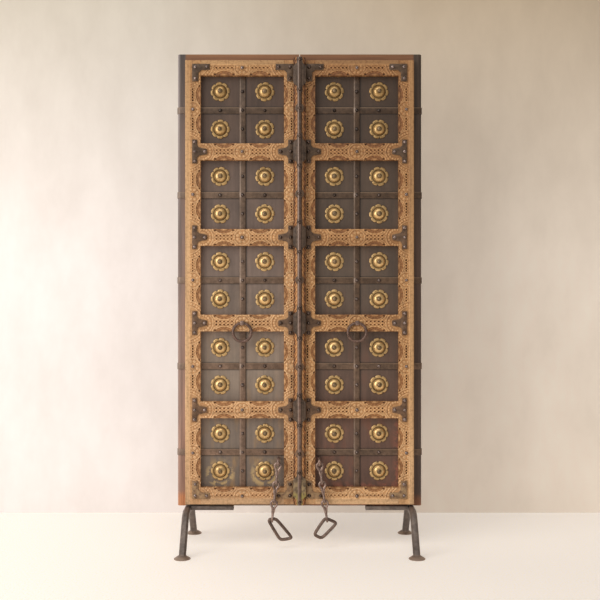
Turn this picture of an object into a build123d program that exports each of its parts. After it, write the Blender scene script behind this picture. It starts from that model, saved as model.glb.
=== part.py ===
from build123d import *
import os
from math import atan, cos, dist, pi, radians, sin, sqrt, tan

# A pair of old carved door leaves that stands on two forged iron stands.
# Millimetres, +Z up, front towards -Y, origin on the floor at the middle of the door.

# Leaves
leaf_height = 1905
leaf_width = 513
leaf_gap = 4
plank_thickness = 36
frame_thickness = 26
heel_margin = 35
heel_round = 14
top_margin = 30.5
bottom_margin = 10

# Carved frame on each leaf
outer_stile_width = 64
inner_stile_width = 63.5
top_rail_height = 64
middle_rail_height = 70.5
bottom_rail_height = 70.5
opening_shares = (0.2007, 0.2031, 0.1998, 0.1997, 0.1967)
carving_depth = 7
pocket_reach = 19
pocket_half_length = 36
pocket_slant = 8
flower_half_length = 25
flower_reach = 14
rosette_radius = 15
rosette_height = 2
lattice_centre_shares = (0.285, 0.715)
flower_sides = 3
petal_count = 8
rosette_dip_share = 0.72

# Iron straps on the planks
strap_thickness = 3
cross_strap_height = 27
cross_strap_cover = 40
upright_strap_width = 26
upright_strap_thickness = 4
strap_ramp = 9
strap_clearance = 0.3

# T plates and L plates on the frame
plate_thickness = 3
tee_length = 100
tee_bar = 21
tee_reach = 63
tee_root = 34
tee_tip = 21
tee_flare = 9
plain_border = 29
corner_reach = 74
corner_arm = 26
corner_chamfer = 12
corner_top_inset = 16
corner_bottom_inset = 24
tee_nail_share = 0.4

# Brass bosses
boss_diameter = 82
boss_dome_diameter = 52
boss_crown_diameter = 28
boss_rim_height = 5
boss_height = 17
boss_lobes = 8
boss_dip_share = 0.87
dome_sides = 8
boss_turn_step = 17

# Forged nail heads
nail_diameter = 14
nail_height = 6
boss_nail_diameter = 24
boss_nail_height = 9
nail_sides = 4
boss_nail_sides = 6
stile_nail_inset = 32

# Cover strip on the meeting line
cover_width = 53
cover_thickness = 22
cover_drop = 23
cover_foot = 1
cover_bevel = 7
cover_gap = 0.5
spine_width = 20
spine_thickness = 3
clip_height = 147
clip_collar = 84
clip_neck = 24
clip_thickness = 2.5
clip_nail_share = 0.42
disc_diameter = 40

# Pull rings
ring_diameter = 87
ring_bar = 10
ring_sides = 20
ring_rail = 2
ring_strip_width = 14
ring_strip_thickness = 4.5
ring_room = 1
staple_depth = 18

# Chains
link_length = 94.5
link_wire = 7.5
link_eye = 17
link_neck = 5
strand_gap = 0.6
link_count = 3
hang_clearance = 0.3
chain_staple_bar = 9
chain_staple_gap = 14
chain_strap_gap = 6
chain_face_room = 5
left_chain_offset = 89.5
right_chain_offset = 82.5
left_chain_lean = 6
right_chain_lean = -7.6
end_link_size = 108
end_link_bar = 11.5
end_link_round = 8
left_end_shares = ((-0.16, -0.024), (0.15, 0.022), (0.79, -0.733), (0.314, -0.81))
right_end_shares = ((-0.076, 0.033), (0.381, -0.167), (-0.21, -0.767), (-0.514, -0.614))
bar_sides = 6
eye_sides = 8
stout_bar_sides = 8

# Stands
stand_height = 170
stand_offset = 470
stand_bar = 28
stand_bar_bevel = 7
stand_flat = 95
stand_bend = 70
bend_facets = 4
foot_spread = 215
foot_diameter = 67
foot_height = 13
foot_neck = 36
foot_sides = 14
foot_rim = 3
bearer_length = 206
bearer_depth = 44
bearer_thickness = 16
screw_width = 15
screw_height = 3
screw_inset = 35

# Tie bars across the back
tie_length = 320
tie_height = 40
tie_thickness = 6
tie_shares = (0.18, 0.82)
tie_screw_inset = 30

overrun = 5

# Places worked out from the sizes above
meeting_edge = leaf_gap / 2
heel_edge = meeting_edge + leaf_width
frame_edge = heel_edge - heel_margin
opening_outer = frame_edge - outer_stile_width
opening_inner = meeting_edge + inner_stile_width
opening_width = opening_outer - opening_inner
opening_centre = (opening_outer + opening_inner) / 2
opening_count = len(opening_shares)
rail_count = opening_count - 1
rails_together = top_rail_height + bottom_rail_height + rail_count * middle_rail_height
openings_together = leaf_height - top_margin - bottom_margin - rails_together
opening_heights = [share * openings_together for share in opening_shares]
leaf_bottom = stand_height
leaf_top = leaf_bottom + leaf_height
frame_bottom = leaf_bottom + bottom_margin
frame_top = leaf_top - top_margin
first_opening = frame_bottom + bottom_rail_height
opening_bottoms = [
    first_opening + sum(opening_heights[:step]) + step * middle_rail_height for step in range(opening_count)
]
openings = list(zip(opening_bottoms, opening_heights))
opening_middles = [bottom + height / 2 for bottom, height in openings]
rail_bottoms = [bottom - middle_rail_height for bottom in opening_bottoms[1:]]
rail_middles = [bottom + middle_rail_height / 2 for bottom in rail_bottoms]
boss_offset_x = (opening_width + upright_strap_width) / 4
boss_offset_z = (openings_together / opening_count + cross_strap_height) / 4

# Levels are distances towards the front from the middle of the leaves
back_level = -(plank_thickness + frame_thickness) / 2
plank_level = back_level + plank_thickness
frame_level = plank_level + frame_thickness
cover_level = frame_level + cover_thickness
spine_level = cover_level + spine_thickness
clip_level = spine_level + clip_thickness
plate_level = frame_level + plate_thickness
rosette_level = frame_level + rosette_height
corner_low = frame_bottom + corner_bottom_inset
corner_high = frame_top - corner_top_inset

leaf_sides = (("left", -1), ("right", 1))
os.makedirs("parts", exist_ok=True)


def save(piece, label):
    """Label a finished piece and write it to its own file."""
    piece.part.label = label
    export_step(piece.part, f"parts/{label}.step")


def front_plane(level):
    """A drawing plane seen from the front, with X across and Z up."""
    return Plane.XZ.offset(level)


def box_between(near, far, low, high, back, front, mode=Mode.ADD):
    """A plain block between two places across, two heights and two levels."""
    with BuildSketch(front_plane(back)) as face:
        with Locations(((near + far) / 2, (low + high) / 2)):
            Rectangle(abs(far - near), high - low)
    extrude(face.sketch, amount=front - back, mode=mode)


def nail_group(places, diameter, height, sides, label):
    """Forged heads with hammered facets, each seated at (x, level, z)."""
    with BuildPart() as head:
        with BuildSketch(Plane.XZ) as base:
            RegularPolygon(diameter / 2, sides)
        loft([base.sketch, Vertex(0, -height, 0)])
    with BuildPart() as nails:
        with Locations(*[(x, -level, z) for x, level, z in places]):
            add(head.part)
    save(nails, label)


# Planks: two boards a leaf, with the seam behind the upright strap
def make_planks(side, name):
    seam = opening_centre
    with BuildPart() as heel_plank:
        box_between(side * seam, side * heel_edge, leaf_bottom, leaf_top, back_level, plank_level)
        heel_corners = heel_plank.edges().filter_by(Axis.Z).group_by(Axis.X)[-1 if side > 0 else 0]
        fillet(heel_corners, heel_round)
    save(heel_plank, f"{name}_heel_plank")

    with BuildPart() as meeting_plank:
        box_between(side * meeting_edge, side * seam, leaf_bottom, leaf_top, back_level, plank_level)
        x, z = chain_places[name]
        for leg in (-1, 1):
            socket = z + leg * chain_leg_offset
            box_between(
                x - chain_socket / 2, x + chain_socket / 2,
                socket - chain_socket / 2, socket + chain_socket / 2,
                plank_level - staple_depth - strap_clearance, plank_level + overrun, Mode.SUBTRACT,
            )
    save(meeting_plank, f"{name}_meeting_plank")


# Carving: sunk pockets along the panel edge, each round a half flower left standing
def pocket_outline(centre, edge, inward):
    """Points (along, across) of one pocket that opens at an edge of a carved member."""
    outside = edge - inward * overrun
    outline = [
        (centre - pocket_half_length - pocket_slant, outside),
        (centre - pocket_half_length, edge + inward * pocket_reach),
        (centre + pocket_half_length, edge + inward * pocket_reach),
        (centre + pocket_half_length + pocket_slant, outside),
        (centre + flower_half_length, outside),
    ]
    for step in range(flower_sides + 1):
        turn = pi * step / flower_sides
        along = centre + flower_half_length * cos(turn)
        outline.append((along, edge + inward * flower_reach * sin(turn)))
    outline.append((centre - flower_half_length, outside))
    return outline


def petal_outline(x, z, radius, petals, dip_share):
    """Petal tips and dips of a flower round (x, z)."""
    outline = []
    for step in range(2 * petals):
        reach = radius if step % 2 == 0 else radius * dip_share
        turn = pi * step / petals
        outline.append((x + reach * cos(turn), z + reach * sin(turn)))
    return outline


def carve_pockets(outlines):
    """Sink the pockets drawn by the outlines into the face of the frame."""
    with BuildSketch(front_plane(frame_level)) as pockets:
        for outline in outlines:
            with BuildLine():
                Polyline(*outline, close=True)
            make_face()
    extrude(pockets.sketch, amount=-carving_depth, mode=Mode.SUBTRACT)


def make_rail(side, low, high, edges, ring_height, label):
    """One carved rail between the stiles; edges lists (height, inward) of its panel edges."""
    centre = side * opening_centre
    start = centre - opening_width / 2
    with BuildPart() as rail:
        box_between(start, start + opening_width, low, high, plank_level, frame_level)
        channel = upright_strap_width / 2 + strap_clearance
        channel_level = plank_level + upright_strap_thickness + strap_clearance
        box_between(
            centre - channel, centre + channel, low - overrun, high + overrun,
            plank_level - overrun, channel_level, Mode.SUBTRACT,
        )
        lattice_centres = [start + share * opening_width for share in lattice_centre_shares]
        carve_pockets([pocket_outline(x, edge, inward) for x in lattice_centres for edge, inward in edges])
        if ring_height is None and len(edges) > 1:
            with BuildSketch(front_plane(frame_level)):
                with BuildLine():
                    middle = (low + high) / 2
                    outline = petal_outline(centre, middle, rosette_radius, petal_count, rosette_dip_share)
                    Polyline(*outline, close=True)
                make_face()
            extrude(amount=rosette_height)
        if ring_height is not None:
            for leg in (-1, 1):
                socket = ring_height + leg * ring_leg_offset
                box_between(
                    centre - ring_socket_width / 2, centre + ring_socket_width / 2,
                    socket - ring_socket_height / 2, socket + ring_socket_height / 2,
                    frame_level - staple_depth - strap_clearance, frame_level + overrun, Mode.SUBTRACT,
                )
    save(rail, label)


def make_stile(side, near, far, panel_edge, inward, label):
    """One carved stile, cut behind for the cross straps; distances are from the meeting line."""
    with BuildPart() as stile:
        box_between(side * near, side * far, frame_bottom, frame_top, plank_level, frame_level)
        channel_level = plank_level + strap_thickness + strap_clearance
        for middle in opening_middles:
            channel = cross_strap_height / 2 + strap_clearance
            box_between(
                side * (near - overrun), side * (far + overrun), middle - channel, middle + channel,
                plank_level - overrun, channel_level, Mode.SUBTRACT,
            )
        outlines = []
        for bottom, height in openings:
            for share in lattice_centre_shares:
                along = pocket_outline(bottom + share * height, panel_edge, inward)
                outlines.append([(side * across, rise) for rise, across in along])
        carve_pockets(outlines)
    save(stile, label)


def make_frame(side, name):
    make_stile(side, opening_outer, frame_edge, opening_outer, 1, f"{name}_outer_stile")
    make_stile(side, meeting_edge, opening_inner, opening_inner, -1, f"{name}_inner_stile")
    bottom_edges = [(first_opening, -1)]
    make_rail(side, frame_bottom, first_opening, bottom_edges, None, f"{name}_bottom_rail")
    top_low = frame_top - top_rail_height
    make_rail(side, top_low, frame_top, [(top_low, 1)], None, f"{name}_top_rail")
    for number, low in enumerate(rail_bottoms, start=1):
        high = low + middle_rail_height
        ring_height = rail_middles[number - 1] if number == ring_rail else None
        make_rail(side, low, high, [(low, 1), (high, -1)], ring_height, f"{name}_rail_{number}")


# Straps: flat bands across the planks, bent round the heel, under one joggled upright band
def make_cross_straps(side, name):
    inner_end = opening_inner - cross_strap_cover
    wrap_end = back_level + heel_round
    with BuildPart() as cross_straps:
        for middle in opening_middles:
            with BuildSketch(Plane.XY.offset(middle - cross_strap_height / 2)):
                with BuildLine():
                    front = -plank_level
                    bend = heel_edge - heel_round
                    outer = strap_thickness
                    turn_end = front + heel_round
                    Line((side * inner_end, front), (side * bend, front))
                    RadiusArc((side * bend, front), (side * heel_edge, turn_end), -side * heel_round)
                    Line((side * heel_edge, turn_end), (side * heel_edge, -wrap_end))
                    Line((side * heel_edge, -wrap_end), (side * (heel_edge + outer), -wrap_end))
                    Line((side * (heel_edge + outer), -wrap_end), (side * (heel_edge + outer), turn_end))
                    RadiusArc(
                        (side * (heel_edge + outer), turn_end), (side * bend, front - outer),
                        side * (heel_round + outer),
                    )
                    Line((side * bend, front - outer), (side * inner_end, front - outer))
                    Line((side * inner_end, front - outer), (side * inner_end, front))
                make_face()
            extrude(amount=cross_strap_height)
    save(cross_straps, f"{name}_cross_straps")


def make_upright_strap(side, name):
    low = frame_bottom
    high = frame_top
    step = strap_thickness + strap_clearance
    rise = cross_strap_height / 2 + strap_clearance
    path = [(plank_level, low)]
    for middle in opening_middles:
        path.append((plank_level, middle - rise - strap_ramp))
        path.append((plank_level + step, middle - rise))
        path.append((plank_level + step, middle + rise))
        path.append((plank_level, middle + rise + strap_ramp))
    path.append((plank_level, high))
    front = [(level + upright_strap_thickness, height) for level, height in reversed(path)]
    outline = [(-level, height) for level, height in path + front]
    with BuildPart() as upright_strap:
        with BuildSketch(Plane.YZ.offset(side * opening_centre - upright_strap_width / 2)):
            with BuildLine():
                Polyline(*outline, close=True)
            make_face()
        extrude(amount=upright_strap_width)
    save(upright_strap, f"{name}_upright_strap")


# Plates: forged T plates at the middle rails and L plates at the corners
def tee_outline(start, direction, height):
    """A T plate whose bar starts at a place across and whose arm points along direction."""
    half = tee_length / 2
    upper = [
        (0, half), (tee_bar, half), (tee_bar, tee_root / 2 + tee_flare),
        (tee_bar + tee_flare, tee_root / 2), (tee_reach, tee_tip / 2),
    ]
    lower = [(across, -rise) for across, rise in reversed(upper)]
    return [(start + direction * across, height + rise) for across, rise in upper + lower]


def corner_outline(start, direction, height, upward):
    """An L plate from its outer corner, with one arm across and one arm along upward."""
    inner = corner_arm + corner_chamfer
    points = [
        (0, 0), (corner_reach, 0), (corner_reach, corner_arm), (inner, corner_arm),
        (corner_arm, inner), (corner_arm, corner_reach), (0, corner_reach),
    ]
    return [(start + direction * across, height + upward * rise) for across, rise in points]


def make_plates(side, name):
    outer_start = side * (frame_edge - plain_border)
    inner_start = side * (cover_width / 2 + cover_gap)
    starts = ((outer_start, -side), (inner_start, side))
    with BuildPart() as tee_plates:
        with BuildSketch(front_plane(frame_level)):
            for height in rail_middles:
                for start, direction in starts:
                    with BuildLine():
                        Polyline(*tee_outline(start, direction, height), close=True)
                    make_face()
        extrude(amount=plate_thickness)
    save(tee_plates, f"{name}_tee_plates")

    with BuildPart() as corner_plates:
        with BuildSketch(front_plane(frame_level)):
            for start, direction in starts:
                for height, upward in ((corner_low, 1), (corner_high, -1)):
                    with BuildLine():
                        Polyline(*corner_outline(start, direction, height, upward), close=True)
                    make_face()
        extrude(amount=plate_thickness)
    save(corner_plates, f"{name}_corner_plates")


# Bosses: a lobed rim with a raised dome, each turned a little differently
def boss_outline():
    """Tips and dips of the lobed rim round its own centre."""
    return petal_outline(0, 0, boss_diameter / 2, boss_lobes, boss_dip_share)


def boss_places(side):
    places = []
    for middle in opening_middles:
        for row in (-1, 1):
            for column in (-1, 1):
                x = side * opening_centre + column * boss_offset_x
                places.append((x, middle + row * boss_offset_z))
    return places


def make_bosses(side, name):
    with BuildPart() as boss:
        with BuildSketch(Plane.XZ):
            with BuildLine():
                Polyline(*boss_outline(), close=True)
            make_face()
        extrude(amount=boss_rim_height)
        with BuildSketch(front_plane(boss_rim_height), mode=Mode.PRIVATE) as dome_base:
            RegularPolygon(boss_dome_diameter / 2, dome_sides)
        dome_height = boss_height - boss_rim_height
        peak_height = dome_height * boss_dome_diameter / (boss_dome_diameter - boss_crown_diameter)
        loft([dome_base.sketch, Vertex(0, -boss_rim_height - peak_height, 0)])
        split(bisect_by=front_plane(boss_height), keep=Keep.BOTTOM)
    with BuildPart() as bosses:
        for number, (x, z) in enumerate(boss_places(side)):
            with Locations(Location((x, -plank_level, z), (0, number * boss_turn_step, 0))):
                add(boss.part)
    save(bosses, f"{name}_brass_bosses")
    crown = plank_level + boss_height
    places = [(x, crown, z) for x, z in boss_places(side)]
    nail_group(places, boss_nail_diameter, boss_nail_height, boss_nail_sides, f"{name}_boss_nails")


# Nails: in the straps, plates, stiles and rails of one leaf
def make_nails(side, name):
    places = []
    centre = side * opening_centre
    flat = plank_level + upright_strap_thickness
    for middle in opening_middles:
        places.append((centre, flat + strap_thickness + strap_clearance, middle))
        for turn in (-1, 1):
            places.append((centre, flat, middle + turn * boss_offset_z))
            places.append((centre + turn * boss_offset_x, plank_level + strap_thickness, middle))
        places.append((side * (frame_edge - stile_nail_inset), frame_level, middle))
    tee_starts = ((frame_edge - plain_border, -1), (cover_width / 2 + cover_gap, 1))
    for number, height in enumerate(rail_middles, start=1):
        for start, direction in tee_starts:
            bar_middle = side * (start + direction * tee_bar / 2)
            for rise in (-tee_nail_share, 0, tee_nail_share):
                places.append((bar_middle, plate_level, height + rise * tee_length))
            places.append((side * (start + direction * (tee_reach - tee_tip / 2)), plate_level, height))
        if number != ring_rail:
            places.append((centre, rosette_level, height))
    for start, direction in tee_starts:
        for height, upward in ((corner_low, 1), (corner_high, -1)):
            near = corner_arm / 2
            far = corner_reach - corner_arm / 2
            for across, rise in ((near, near), (far, near), (near, far)):
                places.append((side * (start + direction * across), plate_level, height + upward * rise))
    places.append((centre, frame_level, frame_bottom + bottom_rail_height / 2))
    places.append((centre, frame_level, frame_top - top_rail_height / 2))
    nail_group(places, nail_diameter, nail_height, nail_sides, f"{name}_forged_nails")


# Cover strip: a bevelled batten with an iron spine, wrap clips and round discs
cover_top = leaf_top - cover_drop
cover_bottom = frame_bottom + cover_foot
cover_length = cover_top - cover_bottom
clip_middles = [cover_bottom + clip_height / 2] + rail_middles + [cover_top - clip_height / 2]


def make_cover():
    half = cover_width / 2
    with BuildPart() as cover_strip:
        with BuildSketch(Plane.XY.offset(cover_bottom)):
            with BuildLine():
                Polyline(
                    (-half, -frame_level), (half, -frame_level), (half, -cover_level + cover_bevel),
                    (half - cover_bevel, -cover_level), (cover_bevel - half, -cover_level),
                    (-half, -cover_level + cover_bevel), close=True,
                )
            make_face()
        extrude(amount=cover_length)
    save(cover_strip, "cover_strip")

    with BuildPart() as cover_spine:
        box_between(-spine_width / 2, spine_width / 2, cover_bottom, cover_top, cover_level, spine_level)
    save(cover_spine, "cover_spine")

    with BuildPart() as cover_clips:
        collar = clip_collar / 2
        with BuildSketch(front_plane(spine_level)):
            for middle in clip_middles:
                with BuildLine():
                    upper = [
                        (clip_neck / 2, clip_height / 2), (clip_neck / 2, collar + cover_bevel),
                        (half - cover_bevel, collar), (half, collar - cover_bevel),
                    ]
                    lower = [(across, -rise) for across, rise in reversed(upper)]
                    right = [(across, middle + rise) for across, rise in upper + lower]
                    left = [(-across, height) for across, height in reversed(right)]
                    Polyline(*(right + left), close=True)
                make_face()
        extrude(amount=clip_thickness)
    save(cover_clips, "cover_clips")

    with BuildPart() as cover_discs:
        with BuildSketch(front_plane(spine_level)):
            for middle in opening_middles:
                with Locations((0, middle)):
                    RegularPolygon(disc_diameter / 2, stout_bar_sides)
        extrude(amount=clip_thickness)
    save(cover_discs, "cover_discs")

    places = [(0, clip_level, middle) for middle in opening_middles]
    for middle in clip_middles:
        for turn in (-1, 1):
            places.append((0, clip_level, middle + turn * clip_nail_share * clip_height))
    nail_group(places, nail_diameter, nail_height, nail_sides, "cover_nails")


# Pull rings, each in a strip staple driven into a rail
ring_gap = ring_bar + 2 * ring_room
ring_leg_offset = (ring_gap + ring_strip_thickness) / 2
ring_socket_width = ring_strip_width + 2 * strap_clearance
ring_socket_height = ring_strip_thickness + 2 * strap_clearance
ring_level = frame_level + ring_gap / 2 + rosette_height


def make_ring(side, name):
    x = side * opening_centre
    staple_height = rail_middles[ring_rail - 1]
    front = ring_level + ring_gap / 2
    inner = ring_gap / 2
    outer = inner + ring_strip_thickness
    tip = front + ring_strip_thickness
    root = frame_level - staple_depth
    with BuildPart() as ring_staple:
        with BuildSketch(Plane.YZ.offset(x - ring_strip_width / 2)):
            with BuildLine():
                outline = [
                    (root, -outer), (tip - ring_strip_thickness, -outer), (tip, -inner), (tip, inner),
                    (tip - ring_strip_thickness, outer), (root, outer), (root, inner), (front, inner),
                    (front, -inner), (root, -inner),
                ]
                Polyline(*[(-level, staple_height + rise) for level, rise in outline], close=True)
            make_face()
        extrude(amount=ring_strip_width)
    save(ring_staple, f"{name}_ring_staple")

    ring_radius = (ring_diameter - ring_bar) / 2
    hole_radius = ring_radius - ring_bar / 2
    sag = hole_radius - sqrt(hole_radius ** 2 - (ring_strip_width / 2) ** 2)
    ring_top = staple_height - inner + ring_bar / 2 + sag + hang_clearance
    corner_radius = ring_radius / cos(pi / ring_sides)
    with BuildPart() as ring:
        with BuildLine(front_plane(ring_level)) as round_path:
            turns = [pi * (2 * step + 1) / ring_sides for step in range(ring_sides)]
            middle = ring_top - ring_radius
            Polyline(
                *[(x + corner_radius * sin(turn), middle + corner_radius * cos(turn)) for turn in turns],
                close=True,
            )
        start = round_path.line @ 0
        heading = round_path.line % 0
        with BuildSketch(Plane(origin=start, z_dir=heading, x_dir=(0, 1, 0))):
            RegularPolygon(ring_bar / 2, bar_sides, rotation=180 / bar_sides)
        sweep(path=round_path.wire(), transition=Transition.RIGHT)
    save(ring, f"{name}_ring")


# Chains: a long staple, twisted links and a heavy end link
eye_radius = (link_eye + link_wire) / 2
link_step = link_length - 2 * link_wire - hang_clearance
chain_level = frame_level + eye_radius + link_wire / 2 + chain_face_room
chain_leg_offset = (chain_staple_gap + chain_staple_bar) / 2
chain_socket = chain_staple_bar + 2 * strap_clearance
strap_underside = opening_middles[0] - cross_strap_height / 2
chain_height = strap_underside - chain_strap_gap - chain_staple_bar / 2 - 2 * chain_leg_offset
chain_hang = chain_height + (chain_staple_bar + link_wire) / 2 + hang_clearance
chain_places = {
    "left": (-left_chain_offset, chain_height + chain_leg_offset),
    "right": (right_chain_offset, chain_height + chain_leg_offset),
}
chain_leans = {"left": left_chain_lean, "right": right_chain_lean}
end_shares = {"left": left_end_shares, "right": right_end_shares}


def half_link_points():
    """One strand of a link from the crown of its upper eye to the foot of its lower eye."""
    eye_turns = [pi * (2 * step + 1) / eye_sides for step in range(eye_sides // 2 - 1)]
    corner_radius = eye_radius / cos(pi / eye_sides)
    bends = [(corner_radius * sin(turn), eye_radius - corner_radius * cos(turn)) for turn in eye_turns]
    strand = (link_wire + strand_gap) / 2
    bottom = link_length - link_wire
    neck = 2 * eye_radius + link_neck
    upper = [(0, 0, 0)] + [(across, 0, -drop) for across, drop in bends]
    lower = [(0, 0, -bottom)] + [(0, across, drop - bottom) for across, drop in bends]
    halfway = strand * sin(pi / 4)
    twist = [(strand, 0, -neck), (halfway, halfway, -bottom / 2), (0, strand, neck - bottom)]
    return upper + twist + list(reversed(lower))


def make_link():
    """A twisted link hung from the origin, its eyes a quarter turn apart."""
    with BuildPart() as half_link:
        with BuildLine() as strand:
            Polyline(*half_link_points())
        with BuildSketch(Plane(origin=strand.line @ 0, z_dir=strand.line % 0, x_dir=(0, 1, 0))):
            RegularPolygon(link_wire / 2, bar_sides)
        sweep(path=strand.wire(), transition=Transition.RIGHT)
    with BuildPart() as link:
        with Locations(Location((0, 0, 0), (0, 0, 0)), Location((0, 0, 0), (0, 0, 180))):
            add(half_link.part)
    return link.part


def make_chain(name):
    x, staple_middle = chain_places[name]
    root = plank_level - staple_depth
    tip = chain_level + eye_radius
    with BuildPart() as chain_staple:
        with BuildLine(Plane.YZ.offset(x)) as bent_bar:
            corner = chain_leg_offset / 2
            Polyline(
                (-root, staple_middle - chain_leg_offset), (corner - tip, staple_middle - chain_leg_offset),
                (-tip, staple_middle - corner), (-tip, staple_middle + corner),
                (corner - tip, staple_middle + chain_leg_offset), (-root, staple_middle + chain_leg_offset),
            )
        with BuildSketch(Plane(origin=bent_bar.line @ 0, z_dir=bent_bar.line % 0, x_dir=(1, 0, 0))):
            RegularPolygon(chain_staple_bar / 2, stout_bar_sides)
        sweep(path=bent_bar.wire(), transition=Transition.RIGHT)
    save(chain_staple, f"{name}_chain_staple")

    lean = chain_leans[name]
    shape = make_link()
    for number in range(1, link_count + 1):
        drop = (number - 1) * link_step
        with BuildPart() as link:
            link_x = x - drop * sin(radians(lean))
            link_z = chain_hang - drop * cos(radians(lean))
            with Locations(Location((link_x, -chain_level, link_z), (0, lean, 0))):
                add(shape)
        save(link, f"{name}_link_{number}")


def make_end_link(name):
    """The heavy link at the foot of a chain, a bent bar with rounded corners."""
    x, _ = chain_places[name]
    lean = radians(chain_leans[name])
    corners = [(across * end_link_size, rise * end_link_size) for across, rise in end_shares[name]]
    (first_x, first_z), (second_x, second_z) = corners[:2]
    slope = (second_z - first_z) / (second_x - first_x)
    seat = (link_wire + end_link_bar) / 2 + hang_clearance
    drop = (link_count - 1) * link_step + link_length - link_wire
    hang_x = x - drop * sin(lean)
    hang_z = chain_hang - drop * cos(lean) + seat * sqrt(1 + slope ** 2)
    points = []
    for number, corner in enumerate(corners):
        for neighbour in (corners[number - 1], corners[(number + 1) % len(corners)]):
            reach = dist(corner, neighbour)
            near_x = corner[0] + (neighbour[0] - corner[0]) * end_link_round / reach
            near_z = corner[1] + (neighbour[1] - corner[1]) * end_link_round / reach
            points.append((hang_x + near_x, hang_z + near_z))
    with BuildPart() as end_link:
        with BuildLine(front_plane(chain_level)) as bent_bar:
            Polyline(*points, close=True)
        with BuildSketch(Plane(origin=bent_bar.line @ 0, z_dir=bent_bar.line % 0, x_dir=(0, 1, 0))):
            RegularPolygon(end_link_bar / 2, stout_bar_sides)
        sweep(path=bent_bar.wire(), transition=Transition.RIGHT)
    save(end_link, f"{name}_end_link")


# Stands: a bearer under each leaf and one bar bent into two splayed legs on flared feet
def make_stand(side, name):
    x = side * stand_offset
    bar_level = stand_height - stand_bar / 2
    leg_slope = (foot_spread - stand_flat) / bar_level
    buried_end = foot_spread + leg_slope * stand_bar
    turn = pi / 2 - atan(leg_slope)
    bend_middle = stand_flat - stand_bend * tan(turn / 2)
    front_half = [(-buried_end, -stand_bar)]
    for step in range(bend_facets, -1, -1):
        angle = turn * step / bend_facets
        rise = stand_bend * (1 - cos(angle))
        front_half.append((-bend_middle - stand_bend * sin(angle), bar_level - rise))
    back_half = [(-place, height) for place, height in reversed(front_half)]
    with BuildPart() as foot:
        with BuildSketch():
            RegularPolygon(foot_diameter / 2, foot_sides)
        extrude(amount=foot_rim)
        with BuildSketch(Plane.XY.offset(foot_rim), mode=Mode.PRIVATE) as flare_base:
            RegularPolygon(foot_diameter / 2, foot_sides)
        flare_height = (foot_height - foot_rim) * foot_diameter / (foot_diameter - foot_neck)
        loft([flare_base.sketch, Vertex(0, 0, foot_rim + flare_height)])
        split(bisect_by=Plane.XY.offset(foot_height), keep=Keep.BOTTOM)
    with BuildPart() as stand:
        with BuildLine(Plane.YZ.offset(x)) as leg_line:
            Polyline(*front_half, *back_half)
        with BuildSketch(Plane(origin=leg_line.wire() @ 0, z_dir=leg_line.wire() % 0, x_dir=(1, 0, 0))):
            bar = Rectangle(stand_bar, stand_bar)
            chamfer(bar.vertices(), stand_bar_bevel)
        sweep(path=leg_line.wire(), transition=Transition.RIGHT)
        split(bisect_by=Plane.XY, keep=Keep.TOP)
        with Locations((x, -foot_spread), (x, foot_spread)):
            add(foot.part)
        box_between(
            x - side * stand_bar / 2, side * (stand_offset + stand_bar / 2 - bearer_length),
            stand_height - bearer_thickness, stand_height, -bearer_depth / 2, bearer_depth / 2,
        )
    save(stand, f"{name}_stand")


def bearer_screw_places():
    inner_end = stand_offset + stand_bar / 2 - bearer_length
    outer_end = stand_offset - stand_bar / 2
    return [side * place for side in (-1, 1) for place in (inner_end + screw_inset, outer_end - screw_inset)]


def make_fixings():
    """Screw heads under the bearers, and the tie bars with their screws behind."""
    with BuildPart() as bearer_screws:
        with BuildSketch(Plane.XY.offset(stand_height - bearer_thickness - screw_height)):
            with Locations(*[(x, 0) for x in bearer_screw_places()]):
                RegularPolygon(screw_width / 2, nail_sides)
        extrude(amount=screw_height)
    save(bearer_screws, "bearer_screws")

    tie_heights = [leaf_bottom + share * leaf_height for share in tie_shares]
    tie_level = back_level - tie_thickness
    with BuildPart() as tie_bars:
        for height in tie_heights:
            box_between(
                -tie_length / 2, tie_length / 2, height - tie_height / 2, height + tie_height / 2,
                tie_level, back_level,
            )
    save(tie_bars, "back_tie_bars")

    with BuildPart() as tie_screws:
        with BuildSketch(front_plane(tie_level - screw_height)):
            for height in tie_heights:
                for side in (-1, 1):
                    ends = (meeting_edge + tie_screw_inset, tie_length / 2 - tie_screw_inset)
                    with Locations(*[(side * end, height) for end in ends]):
                        RegularPolygon(screw_width / 2, nail_sides)
        extrude(amount=screw_height)
    save(tie_screws, "tie_screws")


for leaf_name, leaf_side in leaf_sides:
    make_planks(leaf_side, leaf_name)
    make_frame(leaf_side, leaf_name)
    make_cross_straps(leaf_side, leaf_name)
    make_upright_strap(leaf_side, leaf_name)
    make_plates(leaf_side, leaf_name)
    make_bosses(leaf_side, leaf_name)
    make_nails(leaf_side, leaf_name)
    make_ring(leaf_side, leaf_name)
    make_chain(leaf_name)
    make_end_link(leaf_name)
    make_stand(leaf_side, leaf_name)
make_cover()
make_fixings()
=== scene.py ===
import bpy
import math
import numpy as np
from mathutils import Matrix, Vector


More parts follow.
